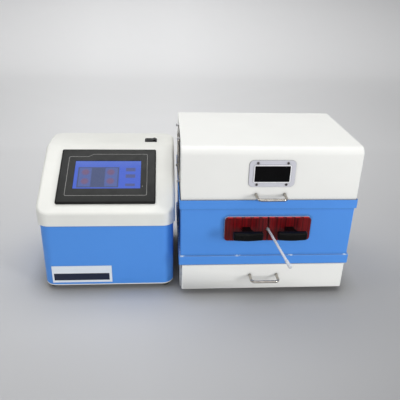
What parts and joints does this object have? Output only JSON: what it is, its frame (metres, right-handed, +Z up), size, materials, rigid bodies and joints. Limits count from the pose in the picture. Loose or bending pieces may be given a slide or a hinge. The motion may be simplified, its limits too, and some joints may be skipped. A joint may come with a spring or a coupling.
{
  "type": "light stability tester",
  "caption": "Benchtop light stability tester: chamber with hinged lamp hood, pull-out sample racks and storage drawer, beside a sloped touch-panel controller.",
  "frame": {"origin": "on the bench, under the centre of the pair's bounding box", "axes": "+X to the right across both units, +Y to the rear, +Z up"},
  "size_m": [0.7232, 0.4792, 0.3675],
  "materials": {
    "white_paint": "smooth satin powder coat",
    "white_shell": "fine satin moulding",
    "blue_paint": "satin powder coat",
    "zinc_steel": "zinc plated sheet",
    "plain_steel": "nickel plated",
    "dark_screw": "black oxide",
    "bright_chrome": "polished",
    "black_rubber": "matte",
    "white_plastic": "fine matte",
    "red_acrylic": "polished translucent sheet",
    "black_plastic": "fine grain",
    "panel_grey": "fine grain",
    "blue_display": "lit display behind clear film",
    "grey_paint": "satin",
    "dark_glass": "dark tinted pane",
    "clear_sheet": "clear sheet",
    "lamp_glass": "phosphor coated tube",
    "reflector_aluminium": "bright rolled sheet",
    "clear_cap": "clear moulded cap",
    "green_board": "circuit board",
    "label_sheet": "printed film"
  },
  "bodies": {
    "stand": {"base_housing": "white_paint", "base_feet": "black_rubber", "chamber_body": "blue_paint", "chamber_floor": "zinc_steel", "rack_bridge": "zinc_steel", "rack_guides": "white_plastic", "hood_gasket": "black_rubber", "hinge_base_leaves": "plain_steel", "hinge_pins": "plain_steel", "drawer_runners_fixed": "zinc_steel", "chamber_socket": "plain_steel", "controller_body": "blue_paint", "controller_base": "white_shell", "controller_feet": "black_rubber", "control_board": "green_board", "power_supply": "zinc_steel", "label_plate": "label_sheet", "power_inlet": "black_plastic", "inlet_pins": "plain_steel", "signal_socket": "plain_steel", "controller_cover": "white_shell", "panel_bezel": "panel_grey", "panel_display": "blue_display", "panel_case": "black_plastic", "panel_clamps": "black_plastic", "switch_frame": "black_plastic"},
    "hood": {"hood_shell": "white_paint", "hood_hinge_leaves": "plain_steel", "window_plate": "grey_paint", "window_bezel": "white_plastic", "window_pane": "dark_glass", "window_screws": "dark_screw", "hood_handle": "bright_chrome", "hood_handle_screws": "plain_steel", "lamp_tubes": "lamp_glass", "lamp_holders": "white_plastic", "lamp_reflector": "reflector_aluminium", "ballasts": "plain_steel", "diffuser_plate": "clear_sheet", "fan_frame": "black_plastic", "fan_guard": "bright_chrome", "fan_screws": "plain_steel"},
    "fan": {"fan_rotor": "black_plastic"},
    "drawer": {"drawer_front": "white_paint", "drawer_tray": "zinc_steel", "drawer_handle": "bright_chrome", "drawer_handle_screws": "plain_steel", "drawer_runners_moving": "zinc_steel"},
    "left_rack": {"left_rack_front": "red_acrylic", "left_rack_frame": "white_plastic", "left_rack_handle": "black_plastic", "left_rack_screws": "plain_steel"},
    "right_rack": {"right_rack_front": "red_acrylic", "right_rack_frame": "white_plastic", "right_rack_handle": "black_plastic", "right_rack_screws": "plain_steel", "probe_guide": "black_plastic"},
    "probe": {"probe_rod": "white_plastic", "probe_cap": "clear_cap"},
    "rocker": {"power_rocker": "black_plastic"}
  },
  "joints": [
    {"name": "hood_hinge", "type": "hinge", "parent": "stand", "child": "hood", "pos_m": [0.1612, 0.21882, 0.25], "axis": [-1, 0, 0], "range_deg": [0, 75]},
    {"name": "fan_spin", "type": "hinge", "parent": "hood", "child": "fan", "pos_m": [-0.0288, 0.06782, 0.306], "axis": [-1, 0, 0], "continuous": true},
    {"name": "drawer_slide", "type": "slide", "parent": "stand", "child": "drawer", "axis": [0, -1, 0], "range_m": [0, 0.19]},
    {"name": "left_rack_slide", "type": "slide", "parent": "stand", "child": "left_rack", "axis": [0, -1, 0], "range_m": [0, 0.1]},
    {"name": "right_rack_slide", "type": "slide", "parent": "stand", "child": "right_rack", "axis": [0, -1, 0], "range_m": [0, 0.1]},
    {"name": "probe_slide", "type": "slide", "parent": "right_rack", "child": "probe", "axis": [0.0906, -0.9959, 0], "range_m": [-0.025, 0.012]},
    {"name": "rocker_tilt", "type": "hinge", "parent": "stand", "child": "rocker", "pos_m": [-0.1061, 0.16653, 0.30312], "axis": [0, 1, 0], "range_deg": [0, 20]}
  ]
}
